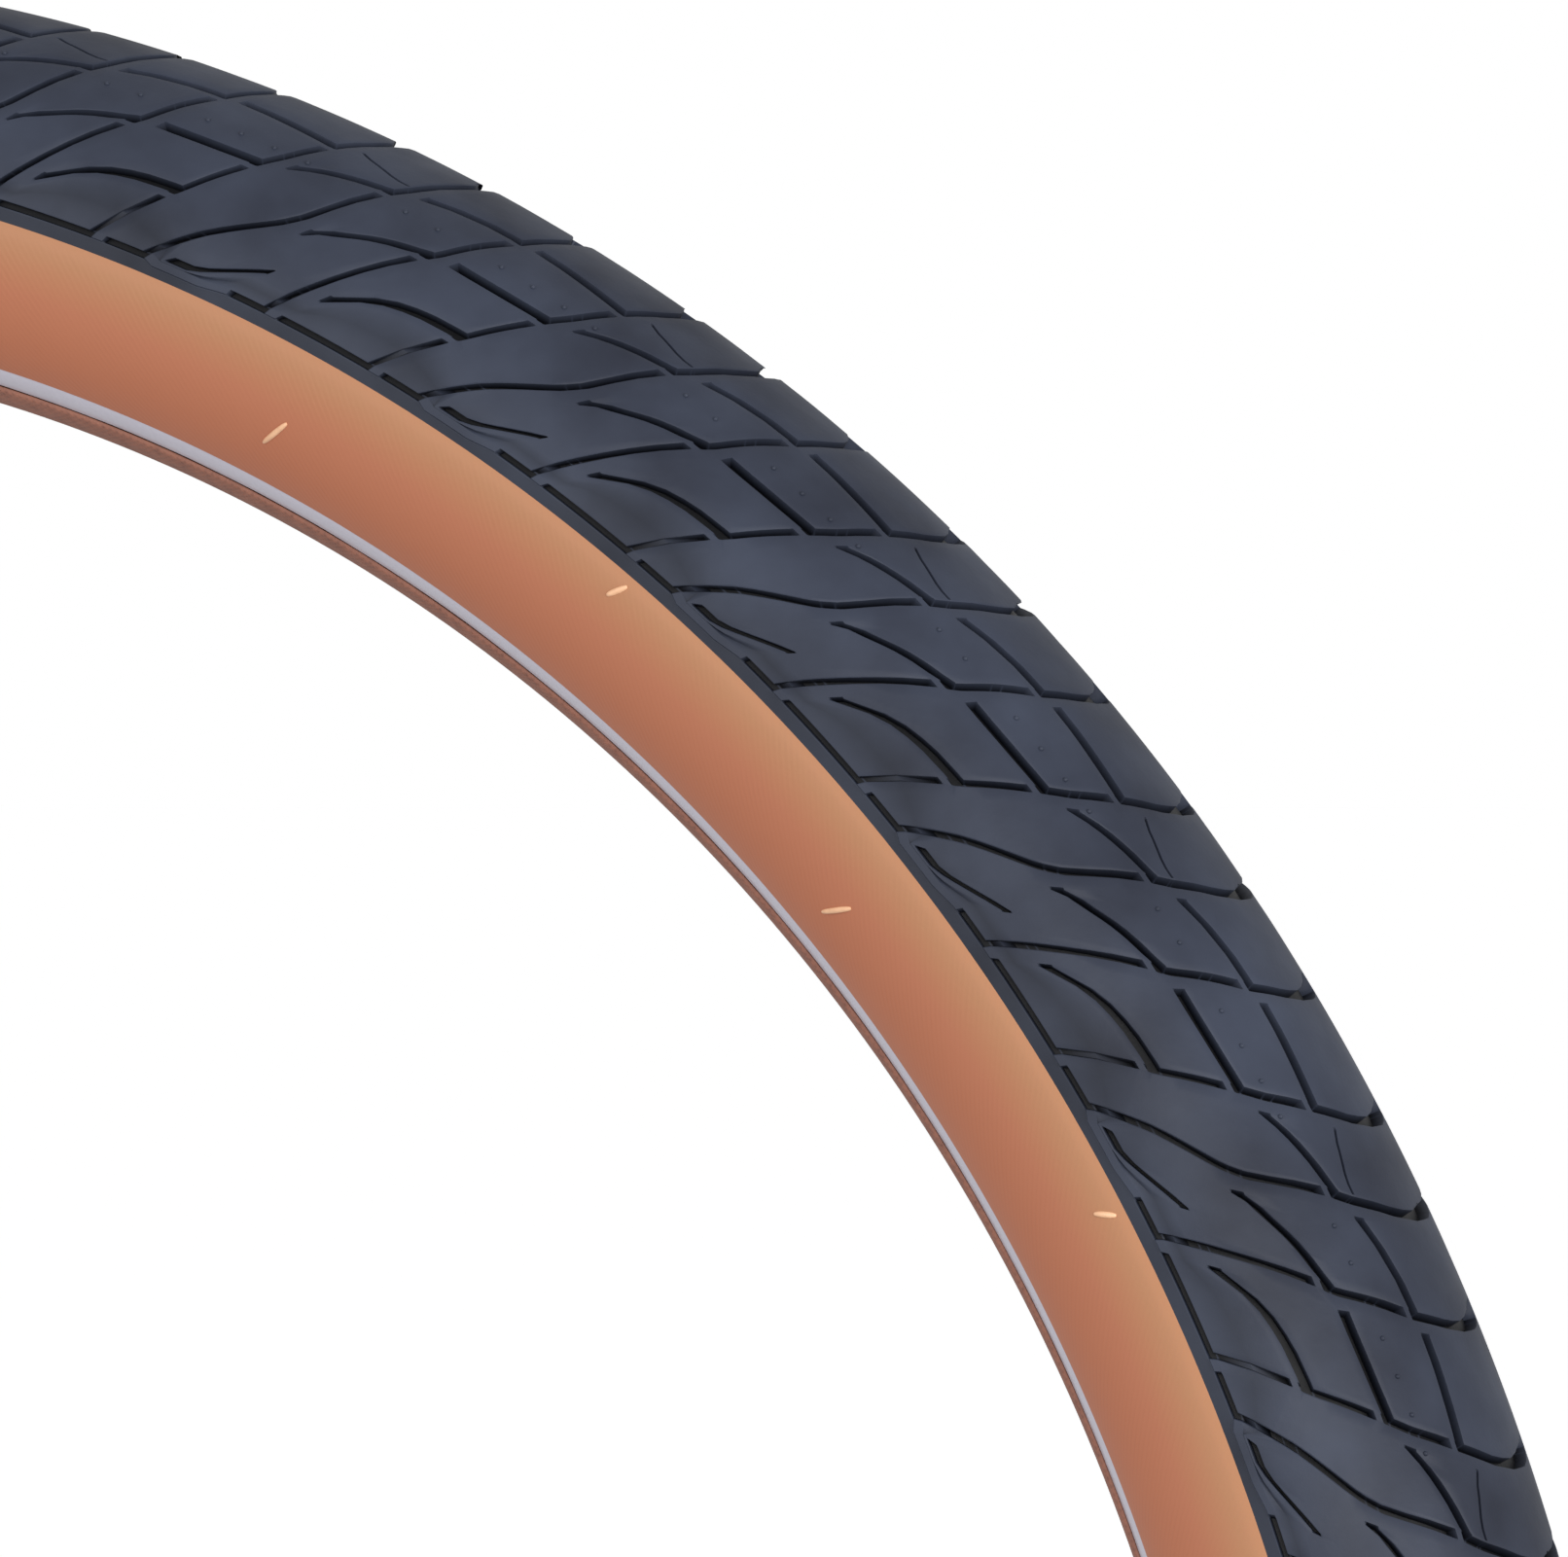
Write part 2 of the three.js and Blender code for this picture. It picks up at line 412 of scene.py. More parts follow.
def tread_rubber(colours):
    """Moulded carbon-black tyre rubber: blue-grey and satin, slightly cloudy from the mould, with painted
    shade: its colour turns near-black down the walls to the bottoms of its grooves."""
    material, tree, shader = new_material("moulded tread rubber", 0.5)
    shader.inputs["Specular IOR Level"].default_value = 0.22
    # Painted shade: the groove attribute mixes the colour towards near-black down the grooves' walls and
    # bottoms, and a little on the lowered shoulder band
    depth = add(tree, "ShaderNodeAttribute", attribute_name="groove").outputs["Fac"]
    cloud = noise(tree, 26 * MM, 4.0)
    clear = ramp(tree, cloud, ((0.24, colours.tread_dark), (0.78, colours.tread_light)))
    colour = blend_colours(tree, depth, clear, linear(colours.groove))
    tree.links.new(colour, shader.inputs["Base Color"])
    grain = noise(tree, 0.9 * MM, 5.0)
    uneven = calculate(tree, "MULTIPLY_ADD", noise(tree, 9 * MM), 0.22, 0.40)
    tree.links.new(uneven, shader.inputs["Roughness"])
    bump(tree, shader, grain, 0.05 * MM, 0.6)
    return material


def tan_rubber(sizes, colours):
    """Skin of uncoloured rubber over bias-laid nylon cords, pressed smooth: the cords show as fine slanting
    ribs with painted shade between them, more of it towards the bead, and the colour deepens from the
    tread's edge to the bead."""
    material, tree, shader = new_material("tan sidewall rubber", 0.48)
    place, _, v = surface_place(tree)
    length = sizes.sidewall_arc * sizes.sidewall_turn
    share = calculate(tree, "DIVIDE", v, length)
    base = ramp(tree, share, (
        (0.0, colours.tan_top), (0.12, colours.tan_top), (0.38, colours.tan_middle),
        (0.95, colours.tan_foot)))
    ribs = stripes(tree, place, math.radians(45), 0.95 * MM)
    patches = noise(tree, 7 * MM, 2.0)
    # Painted shade: the cord shadow colour is laid in the furrows between the cord ribs, in patches and more
    # towards the bead
    painted_cord_shade = calculate(tree, "MULTIPLY", calculate(tree, "POWER", ribs, 3.0),
                     calculate(tree, "MULTIPLY", calculate(tree, "MULTIPLY", patches, share), 0.4))
    colour = blend_colours(tree, painted_cord_shade, base, linear(colours.cord_shadow))
    cloudy = blend_colours(tree, calculate(tree, "MULTIPLY", noise(tree, 3 * MM, 5.0), 0.25),
                           colour, linear(colours.tan_middle))
    tree.links.new(cloudy, shader.inputs["Base Color"])
    soft = bump(tree, shader, noise(tree, 1.1 * MM, 4.0), 0.04 * MM, 0.5)
    bump(tree, shader, calculate(tree, "MULTIPLY", ribs, patches), 0.03 * MM, 0.6, soft)
    return material


def reflective_tape(colours):
    """Grey tape of tiny glass beads under clear film: smooth, pale and slightly lavender."""
    material, tree, shader = new_material("retroreflective tape", 0.38)
    shader.inputs["Coat Weight"].default_value = 0.25
    grains = noise(tree, 0.8 * MM, 2.0)
    colour = blend_colours(tree, calculate(tree, "MULTIPLY", grains, 0.35),
                           linear(colours.strip), linear("#A9A5B4"))
    tree.links.new(colour, shader.inputs["Base Color"])
    bump(tree, shader, grains, 0.04 * MM, 0.5)
    return material


def chafer_strip(colours):
    """Square-woven nylon dipped in brown rubber: matt, with dark threads where the rubber
    has been squeezed away in the mould."""
    material, tree, shader = new_material("rubbered chafer strip", 0.66)
    place, _, _ = surface_place(tree)
    weave = calculate(tree, "MULTIPLY", stripes(tree, place, math.radians(45), 0.9 * MM),
                      stripes(tree, place, math.radians(-45), 0.9 * MM))
    mottle = calculate(tree, "MULTIPLY", noise(tree, 2.2 * MM, 4.0), 1.1)
    share = calculate(tree, "MULTIPLY", calculate(tree, "POWER", mottle, 2.0),
                      calculate(tree, "MULTIPLY_ADD", weave, 0.6, 0.6))
    colour = blend_colours(tree, share, linear(colours.chafer), linear(colours.chafer_dark))
    tree.links.new(colour, shader.inputs["Base Color"])
    bump(tree, shader, weave, 0.10 * MM, 0.8)
    return material


def rubbered_cord(colours):
    """Casing ply: parallel nylon cords in thin brown rubber, seen on the inside of the tyre
    as close slanting ribs with a dull, chalky film of mould release."""
    material, tree, shader = new_material("rubbered nylon cord", 0.7)
    place, _, _ = surface_place(tree)
    ribs = stripes(tree, place, math.radians(45), 1.2 * MM)
    film = noise(tree, 18 * MM, 5.0)
    shade = blend_colours(tree, calculate(tree, "MULTIPLY", ribs, 0.45),
                          linear(colours.casing), linear(colours.cord_shadow))
    colour = blend_colours(tree, calculate(tree, "MULTIPLY", film, 0.3), shade, linear("#CDA883"))
    tree.links.new(colour, shader.inputs["Base Color"])
    bump(tree, shader, ribs, 0.12 * MM, 0.9)
    return material


def woven_belt(colours):
    """Puncture belt: yellow cord woven in a plain weave, with a low sheen on its threads."""
    material, tree, shader = new_material("woven belt cord", 0.75)
    shader.inputs["Sheen Weight"].default_value = 0.3
    place, _, _ = surface_place(tree)
    weave = calculate(tree, "MULTIPLY", stripes(tree, place, 0.0, 1.4 * MM),
                      stripes(tree, place, math.radians(90), 1.4 * MM))
    colour = blend_colours(tree, weave, linear(colours.belt), linear("#7C6426"))
    tree.links.new(colour, shader.inputs["Base Color"])
    bump(tree, shader, weave, 0.15 * MM, 0.8)
    return material


def brassed_wire(colours):
    """Drawn steel wire with the thin brass coat that bonds it to rubber."""
    material, tree, shader = new_material("brassed steel wire", 0.32, metallic=1.0)
    drawn = noise(tree, 1.5 * MM, 3.0)
    colour = blend_colours(tree, drawn, linear(colours.steel), linear("#8F7F60"))
    tree.links.new(colour, shader.inputs["Base Color"])
    bump(tree, shader, drawn, 0.02 * MM, 0.4)
    return material


def raised_rubber(colours):
    """The same tan rubber where the mould's small slots fill with clean gum: paler, glossier."""
    material, tree, shader = new_material("pale moulded gum", 0.35)
    flecks = noise(tree, 1.2 * MM, 3.0)
    colour = blend_colours(tree, calculate(tree, "MULTIPLY", flecks, 0.5),
                           linear(colours.mark), linear(colours.tan_top))
    tree.links.new(colour, shader.inputs["Base Color"])
    bump(tree, shader, flecks, 0.03 * MM, 0.4)
    return material


def studio_paper(colours):
    """Seamless background paper: matt, nearly white, with a faint fibre grain."""
    material, tree, shader = new_material("background paper", 0.9)
    fibre = noise(tree, 2 * MM, 2.0)
    colour = blend_colours(tree, calculate(tree, "MULTIPLY", fibre, 0.1),
                           linear(colours.floor), linear("#EDEDED"))
    tree.links.new(colour, shader.inputs["Base Color"])
    shader.inputs["Emission Color"].default_value = (1, 1, 1, 1)
    shader.inputs["Emission Strength"].default_value = 0.5
    return material


def material_once(name, make, *values):
    """The material of that name, made the first time it is asked for."""
    return bpy.data.materials.get(name) or make(*values)


# ---------------------------------------------------------------- tread pattern

# Three cross grooves in each pitch, a, b and c, as (u, v) in millimetres from the shoulder to the
# centre line. They lean over the shoulder and straighten towards the centre, so the two halves
# of the tread meet in arches.
CROSS_GROOVES_MM = (
    ((6, 46), (15, 39), (25.5, 32.4), (29, 29), (34, 20.5), (38, 14.2), (41.5, 5.7), (42.5, 0)),
    ((30.5, 46), (40, 35.6), (47.5, 27.2), (50.5, 24.3), (54, 18.2), (57.6, 12.2), (60, 5), (60.8, 0)),
    ((52, 46), (58, 39.4), (63.8, 34), (70.6, 25.8), (74.7, 20.5), (79, 12.5), (82, 5.7), (83, 0)),
)

# Row grooves run round the tyre in the cells between the cross grooves: cell 0 lies between a
# and b, cell 1 between b and c, and cell 2 between c and the next a. Each row groove starts on
# a block's land and bends into the next cross groove. There are four slots for them from the
# centre line outwards, and the shoulder line is the fifth. Where a slot has no groove in a cell,
# its course only steers the mesh.
# Each entry is (cell, slot, width share, depth share, course in (u, v) millimetres).
ROW_GROOVES_MM = (
    (0, 0, 1.12, 1.0, ((41, 14.6), (46, 13.1), (52, 12.0), (57, 11.7))),
    (1, 0, 1.12, 1.0, ((61, 11.3), (66, 11.4), (72, 11.9), (78, 12.5))),
    (2, 0, 0.3, 0.2, ((81, 10.8), (86, 12.0), (91, 13.6))),
    (0, 1, 1.0, 0.0, ((40, 18.4), (54, 18.0))),
    (1, 1, 1.0, 0.0, ((58, 18.0), (74, 19.2))),
    (2, 1, 1.12, 1.0, ((77, 22.0), (81.5, 19.9), (86.5, 18.2), (92, 16.9))),
    (0, 2, 1.12, 1.0, ((29, 31.9), (35, 29.7), (40, 27.5), (45, 25.9), (50, 24.9))),
    (1, 2, 1.12, 1.0, ((53, 24.3), (58, 24.3), (65, 24.1), (71, 23.8))),
    (2, 2, 1.0, 0.0, ((76, 25.6), (84, 30.5))),
    (0, 3, 0.72, 0.8, ((6, 44.95), (15.5, 44.95), (18.5, 44.2), (28.5, 40.2))),
    (1, 3, 1.12, 1.0, ((39, 40.0), (44, 37.7), (50, 35.6), (55, 34.6), (62, 34.2))),
    (2, 3, 1.0, 0.0, ((66, 35.6), (72, 41.5))),
    (0, 4, 0.72, 0.8, ((6, 46.6), (18, 46.6), (23, 45.9), (30, 45.9))),
    (1, 4, 0.72, 0.8, ((31, 45.9), (52, 45.9))),
    (2, 4, 0.72, 0.8, ((53, 45.9), (62, 45.9))),
)
SLOTS = 5
SHOULDER_SLOT = 4

# The hook is the groove of slot 3 in cell 0: it starts along the shoulder, in place of the
# shoulder line, and turns in to end on the block. These are places across that cell, 0 at
# cross groove a and 1 at cross groove b.
HOOK_END = 0.68
SHOULDER_LINE_RESUMES = 0.73
INNER_COLUMNS = (
    (0.33, 0.41, 0.47, 0.54, 0.61, HOOK_END, 0.70, SHOULDER_LINE_RESUMES, 0.86),
    (0.34, 0.45, 0.57, 0.70, 0.82, 0.91),
    (0.36, 0.47, 0.58, 0.70, 0.82, 0.91),
)

# Below each of these (cross groove, slot) pairs the cross groove stops for a short tie bar
TIE_BARS = {(0, 1), (1, 0), (1, 2), (2, 0), (2, 2), (2, 3)}

WALL_SHARE = 0.72  # a groove's width at its bottom over its width at the top
CHAMFER_MM = 0.22
CHAMFER_DEPTH_MM = 0.10
LAND_MM = 2.6  # from a cross groove's middle to where a row groove starts
LAND_MOST = (0.26, 0.31)  # the most of a cell's length that a land and its end wall may take
TIE_MM = 0.9
END_WALL_MM = 0.35
SHOULDER_STEP_MM = 0.3  # the smooth band outside the shoulder line lies lower than the blocks
SMOOTHING_MM = 0.9
NARROW_FROM_MM, NARROW_TO_MM, NARROW_SHARE = 16.0, 34.0, 0.68  # cross grooves over the shoulder
# Just past the centre line, the left half's cross grooves open out
OPENING_AT_MM, OPENING_REACH_MM = 9.0, 6.0
OPENING_BEFORE_MM, OPENING_AFTER_MM = 1.7, 0.8
OPENING_ON_LANDS = 0.4
SHADE_FROM, SHADE_REACH = 0.03, 0.35  # levels over which a groove's wall turns dark with painted shade
LEAST_RUBBER_MM = 0.6
INNER_ROWS = 17
TREAD_ARCS = 3


class TreadPattern:
    """The tread's groove network for one pitch, as a grid whose lines follow the grooves' edges.
    The grid is for one half. Lengths are in millimetres until outside, inside and place.

    Columns follow the cross grooves and rows follow the row grooves. A column is (share, offset):
    share of the way from one cross groove to the next, plus an offset in millimetres at right
    angles to the groove. Rows are listed from the centre line to the shoulder.
    """

    def __init__(self, sizes):
        self.sizes = sizes
        self.pitch = 2 * math.pi * sizes.outer_radius / sizes.pitches / MM
        self.half_top = sizes.groove_width / MM / 2
        self.half_bottom = self.half_top * WALL_SHARE
        self.depth = sizes.groove_depth / MM
        self._measure_crown()
        self._smooth_cross_grooves()
        self._lay_rows()
        self._lay_columns()

    def _measure_crown(self):
        """A table from distance over the crown to the ellipse's turn."""
        turn = np.linspace(0, math.pi / 2, 2001)
        speed = np.hypot(self.sizes.crown_height * np.sin(turn), self.sizes.half_width * np.cos(turn))
        length = np.concatenate([[0], np.cumsum((speed[1:] + speed[:-1]) / 2 * np.diff(turn))]) / MM
        self._turn_table = (length, turn)
        self.half_arc = float(length[-1])

    def turn_at(self, v):
        """The crown's turn at a distance v in millimetres from the centre line, either side."""
        return np.sign(v) * np.interp(np.abs(v), *self._turn_table)

    def _smooth_cross_grooves(self):
        """Each cross groove's u as a function of v, blurred a little, and mirrored at the centre
        line so that it crosses it at right angles."""
        self._v = np.arange(-self.half_arc, self.half_arc, 0.1)
        reach = np.arange(-30, 31) * 0.1
        weights = np.exp(-0.5 * (reach / SMOOTHING_MM) ** 2)
        weights /= weights.sum()
        self._u = []
        for course in CROSS_GROOVES_MM:
            u, v = np.array(course[::-1], float).T
            raw = np.interp(np.abs(self._v), v, u)
            padded = np.pad(raw, len(reach) // 2, mode="edge")
            self._u.append(np.convolve(padded, weights, mode="valid"))
        self._u.append(self._u[0] + self.pitch)

    def cross(self, groove, v):
        """A cross groove's u at v, and its slant there as the length over the height."""
        u = np.interp(v, self._v, self._u[groove])
        slope = np.interp(v, self._v, np.gradient(self._u[groove], self._v))
        return u, np.sqrt(1 + slope**2)

    def _lay_rows(self):
        """Rows from the centre line outwards. Each is (slot, offset share, offset, kind), and
        'fill' rows share out the space between two slots."""
        rows = [("centre", 0, 0.0, 0)]
        fills = (3, 1, 2, 3, 1)
        for slot in range(SLOTS):
            rows += [("fill", slot, (k + 1) / (fills[slot] + 1), 0) for k in range(fills[slot])]
            rows += [("land", slot, -1.0, -CHAMFER_MM), ("top", slot, -1.0, 0.0),
                     ("bottom", slot, -WALL_SHARE, 0.0), ("bottom", slot, WALL_SHARE, 0.0),
                     ("top", slot, 1.0, 0.0), ("land", slot, 1.0, CHAMFER_MM)]
            if slot != SHOULDER_SLOT:
                rows += [("tie", slot, 1.0, CHAMFER_MM + TIE_MM),
                         ("tie_end", slot, 1.0, CHAMFER_MM + TIE_MM + END_WALL_MM)]
        rows += [("band", SLOTS, 0.5, 0), ("border", SLOTS, 1.0, 0)]
        self.rows = rows
        self.kinds = np.array([row[0] for row in rows])
        self.slots = np.array([row[1] for row in rows])

    def _row_places(self, cell, share):
        """v of every row at places across a cell: (columns, rows)."""
        centres, widths = [], []
        for slot in range(SLOTS):
            _, _, width, _, course = next(r for r in ROW_GROOVES_MM if r[:2] == (cell, slot))
            u, v = np.array(course, float).T
            start, _ = self.cross(cell, v)
            end, _ = self.cross(cell + 1, v)
            centres.append(np.interp(share, (u - start) / (end - start), v))
            widths.append(np.full(len(share), width * self.half_top))
        places = np.zeros((len(share), len(self.rows)))
        for k, (kind, slot, step, extra) in enumerate(self.rows):
            if kind not in ("centre", "fill", "band", "border"):
                places[:, k] = centres[slot] + step * widths[slot] + extra
        places[:, self.kinds == "border"] = self.half_arc
        for slot in range(SHOULDER_SLOT):
            tie, end = (np.flatnonzero((self.kinds == kind) & (self.slots == slot))[0]
                        for kind in ("tie", "tie_end"))
            following = np.flatnonzero((self.kinds == "land") & (self.slots == slot + 1))[0]
            room = places[:, following] - places[:, tie - 1]
            places[:, tie] = places[:, tie - 1] + np.minimum(TIE_MM, 0.4 * room)
            places[:, end] = places[:, tie - 1] + np.minimum(TIE_MM + END_WALL_MM, 0.6 * room)
        fixed = ~np.isin(self.kinds, ("fill", "band"))
        for column in places:
            column[~fixed] = np.interp(np.flatnonzero(~fixed), np.flatnonzero(fixed), column[fixed])
        return places

    def _lay_columns(self):
        """Every column of one pitch: v and u of its rows, and how deep each of them lies."""
        top, bottom = self.half_top, self.half_bottom
        wall = [0.0, bottom, top, top + CHAMFER_MM]
        land = [LAND_MM, LAND_MM + END_WALL_MM]
        u_all, v_all, depth_all, wide_all = [], [], [], []
        for cell in range(3):
            inner = INNER_COLUMNS[cell]
            share = np.array([0.0] * 6 + list(inner) + [1.0] * 3)
            offset = np.array(wall + land + [0.0] * len(inner) + [-top - CHAMFER_MM, -top, -bottom])
            here = self._row_places(cell, share)
            before = self._row_places((cell - 1) % 3, np.ones(1))
            here[:4] = before  # the groove's rows follow the row grooves that bend into it
            start, slant_start = self.cross(cell, here)
            end, slant_end = self.cross(cell + 1, here)
            room = end - start
            u = start + share[:, None] * room
            narrow = np.interp(here, (NARROW_FROM_MM, NARROW_TO_MM), (1.0, NARROW_SHARE))
            opening = np.exp(-(((here - OPENING_AT_MM) / OPENING_REACH_MM) ** 2))
            u[:4] += offset[:4, None] * (slant_start * narrow)[:4]
            for k, most in zip((4, 5), LAND_MOST):
                u[k] += np.minimum(offset[k] * slant_start[k], most * room[k])
            u[-3:] += offset[-3:, None] * (slant_end * narrow)[-3:]
            wide = np.zeros(u.shape)
            wide[1:4] = OPENING_AFTER_MM * opening[1:4]
            wide[4:6] = OPENING_ON_LANDS * OPENING_AFTER_MM * opening[4:6]
            wide[-3:] = -OPENING_BEFORE_MM * opening[-3:]
            wide_all.append(wide)
            u_all.append(u)
            v_all.append(here)
            depth_all.append(self._depths(cell, share))
        self.u = np.concatenate(u_all)
        self.v = np.concatenate(v_all)
        self.level = np.concatenate(depth_all)
        self.opening = np.concatenate(wide_all)
        self.columns = len(self.u)

    def _depths(self, cell, share):
        """How deep each point lies, from 0 on a block to 1 at the bottom of a full groove."""
        count = len(share)
        chamfer = CHAMFER_DEPTH_MM / self.depth
        level = np.zeros((count, len(self.rows)))
        column = np.arange(count)
        for _, slot, _, depth, _ in (r for r in ROW_GROOVES_MM if r[0] == cell and r[3]):
            active = column >= 5
            if (cell, slot) == (0, 3):
                active &= share <= HOOK_END
            if (cell, slot) == (0, SHOULDER_SLOT):
                active &= share >= SHOULDER_LINE_RESUMES
            if (cell, slot) == (2, 0):
                active &= share < 0.95
            mine = self.slots == slot
            level[np.ix_(active, mine & (self.kinds == "bottom"))] = depth
            level[np.ix_(active, mine & (self.kinds == "top"))] = chamfer * depth
        for groove, bottoms, tops in ((cell, [0, 1], [2]), ((cell + 1) % 3, [count - 1], [count - 2])):
            runs = self._cross_runs(groove)
            level[bottoms] = np.maximum(level[bottoms], runs)
            level[tops] = np.maximum(level[tops], np.where(runs > 0, chamfer, 0))
        outside = (self.slots == SLOTS) | ((self.slots == SHOULDER_SLOT) & (self.rows_after_shoulder()))
        level[:, outside] = SHOULDER_STEP_MM / self.depth
        return level

    def rows_after_shoulder(self):
        """True for the shoulder slot's rows outside its groove."""
        steps = np.array([row[2] for row in self.rows])
        return (self.kinds != "bottom") & (steps > 0)

    def _cross_runs(self, groove):
        """Along each row, 1 where that cross groove is open and 0 where a tie bar or the shoulder
        band closes it."""
        runs = np.ones(len(self.rows))
        for tied, slot in TIE_BARS:
            if tied == groove:
                closed = (self.slots == slot) & (np.isin(self.kinds, ("tie",)) | (
                    (self.kinds == "land") & (np.array([row[3] for row in self.rows]) > 0)))
                runs[closed] = 0
        shoulder = np.flatnonzero((self.slots == SHOULDER_SLOT) & (self.kinds == "bottom"))[-1]
        runs[shoulder + 1:] = 0
        return runs

    def both_halves(self, values, odd=False):
        """Values on the rows from the right border to the left border."""
        return np.concatenate([(-1 if odd else 1) * values[:, :0:-1], values], axis=1)

    def groove_shade_share(self):
        """How much painted shade each point takes, by how far it is into a groove: from 0 on a block to 1 at
        any groove's bottom.
        """
        edge = np.where(self.kinds == "top", 0.0, self.level)
        return np.clip((edge - SHADE_FROM) / SHADE_REACH, 0, 1)

    def outside(self):
        """u, v and depth in metres of one pitch's columns, with the rows of both halves."""
        thickness = rubber(np.interp(self.v, *self._turn_table)) / MM
        depth = np.minimum(self.level * self.depth, thickness - LEAST_RUBBER_MM)
        u = self.both_halves(self.u)
        u[:, -self.opening.shape[1]:] += self.opening
        return (u * MM, self.both_halves(self.v, odd=True) * MM,
                self.both_halves(depth) * MM)

    def inside(self):
        """u, v and depth in metres of the tread's inner face, from the left border to the right."""
        v = np.broadcast_to(np.linspace(self.half_arc, -self.half_arc, INNER_ROWS),
                            (self.columns, INNER_ROWS))
        full_u, full_v = self.both_halves(self.u), self.both_halves(self.v, odd=True)
        u = np.stack([np.interp(-v[0], -fv[::-1], fu[::-1]) for fu, fv in zip(full_u, full_v)])
        return u * MM, v * MM, rubber(self.turn_at(v))

    def place(self, u, v, depth):
        """(u, v, depth) in metres as x, y, z: v over the crown's ellipse and u round the axle,
        from the pattern's start against the angle."""
        section = crown(self.sizes, self.turn_at(v / MM), depth)
        return around(section, self.sizes.pattern_turn - u / self.sizes.outer_radius)


def cap_faces(outer, inner, forwards):
    """Faces that close the end of a tread arc, between its outer line of vertices and its inner
    one, which has fewer and runs the same way."""
    match = np.round(np.linspace(0, len(inner) - 1, len(outer))).astype(int)
    a, b = outer[:-1], outer[1:]
    c, d = inner[match[1:]], inner[match[:-1]]
    faces = [[p, q, r] if r == s else [p, q, r, s] for p, q, r, s in zip(a, b, c, d)]
    return [[int(k) for k in (face if forwards else face[::-1])] for face in faces]


def add_tread_arc(context, pattern, name, first, count, material):
    """count pitches of the tread from pitch number first: a grid that wraps across the section,
    over the grooved outside and back along the smooth inside, with both ends closed."""
    outer, inner = pattern.outside(), pattern.inside()
    u, v, depth = (np.concatenate([a, b], axis=1) for a, b in zip(outer, inner))
    shift = (first + np.arange(count + 1)) * pattern.pitch * MM
    u = (u[None] + shift[:, None, None]).reshape(-1, u.shape[1])[:count * pattern.columns + 1]
    v = np.tile(v, (count + 1, 1))[:len(u)]
    depth = np.tile(depth, (count + 1, 1))[:len(u)]
    vertices = pattern.place(u, v, depth)
    rows, columns = u.shape
    faces, texture = grid_quads(rows, columns, False, True)
    spread = np.concatenate([v, v[:, :1]], axis=1)
    uv = np.stack([np.concatenate([u, u[:, :1]], axis=1), spread], -1).reshape(-1, 2)[texture]
    index = np.arange(rows * columns).reshape(rows, columns)
    outside = outer[0].shape[1]
    ends = []
    for line, forwards in ((index[0], True), (index[-1], False)):
        ends += cap_faces(line[:outside], line[outside:][::-1], forwards)
    flat = np.stack([u, v], -1).reshape(-1, 2)
    end_uv = np.concatenate([flat[face] for face in ends])
    piece = add_piece(context, name, vertices.reshape(-1, 3), faces.tolist() + ends,
                      np.concatenate([uv.reshape(-1, 2), end_uv]), material, math.radians(34))
    # Painted shade: each outer vertex's share of the near-black that stands in for shade in the grooves,
    # kept as the groove attribute
    groove = np.zeros(u.shape)
    groove[:, :outside] = np.resize(pattern.both_halves(pattern.groove_shade_share()), (len(u), outside))
    layer = piece.data.attributes.new("groove", "FLOAT", "POINT")
    layer.data.foreach_set("value", groove.ravel().astype(np.float32))
    return piece


NUBS_PER_PITCH = 9
NUB_ROW_MM = 19.8
NUB_RADIUS_MM = 0.42
NUB_CLEARANCE_MM = 1.3


def add_nubs(context, pattern, material):
    """Little domes of rubber that rose into the mould's vents, in one line on each half of the
    tread: squashed spheres, x = r sin(a) cos(b), y = r sin(a) sin(b), z = r cos(a)."""
    u = (np.arange(NUBS_PER_PITCH) + 0.5) * pattern.pitch / NUBS_PER_PITCH
    deep = pattern.level > 0.04
    groove_u = np.concatenate([pattern.u[deep] + k * pattern.pitch for k in (-2, -1, 0, 1)])
    groove_v = np.tile(pattern.v[deep], 4)
    clearance = np.hypot(u[:, None] - groove_u, NUB_ROW_MM - groove_v).min(1)
    u = u[clearance > NUB_CLEARANCE_MM]
    u = (u + pattern.pitch * np.arange(pattern.sizes.pitches)[:, None]).ravel() * MM
    u, v = np.meshgrid(u, np.array([-NUB_ROW_MM, NUB_ROW_MM]) * MM, indexing="ij")
    u, v = u.ravel(), v.ravel()
    a = np.linspace(0.12, math.pi - 0.12, 6)
    b = np.arange(8) * math.pi / 4
    radius = NUB_RADIUS_MM * MM
    du = radius * np.sin(a)[None, :, None] * np.cos(b)
    dv = radius * np.sin(a)[None, :, None] * np.sin(b)
    rise = -radius * np.broadcast_to(np.cos(a)[None, :, None], du.shape)
    vertices = pattern.place(u[:, None, None] + du, v[:, None, None] + dv, rise)
    faces = tube_copies(len(u), len(a), len(b))
    flat = np.stack([u[:, None, None] + du, v[:, None, None] + dv], -1).reshape(-1, 2)
    return add_piece(context, "vent_nubs", vertices.reshape(-1, 3), faces,
                     flat[np.concatenate(faces)], material)


# ---------------------------------------------------------------- operators


class TYRE_OT_tread(bpy.types.Operator):
    """Adds the grooved tread band and its moulding nubs"""
    bl_idname = "tyre.tread"
    bl_label = "Add Tread"

    def execute(self, context):
        scene = context.scene
        material = material_once("moulded tread rubber", tread_rubber, scene.tyre_colours)
        pattern = TreadPattern(scene.tyre_sizes)
        pitches = scene.tyre_sizes.pitches // TREAD_ARCS
        for k in range(TREAD_ARCS):
            arc = add_tread_arc(context, pattern, f"tread_arc_{k + 1}", k * pitches, pitches, material)
            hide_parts("tread")
        add_nubs(context, pattern, material)
        return {"FINISHED"}


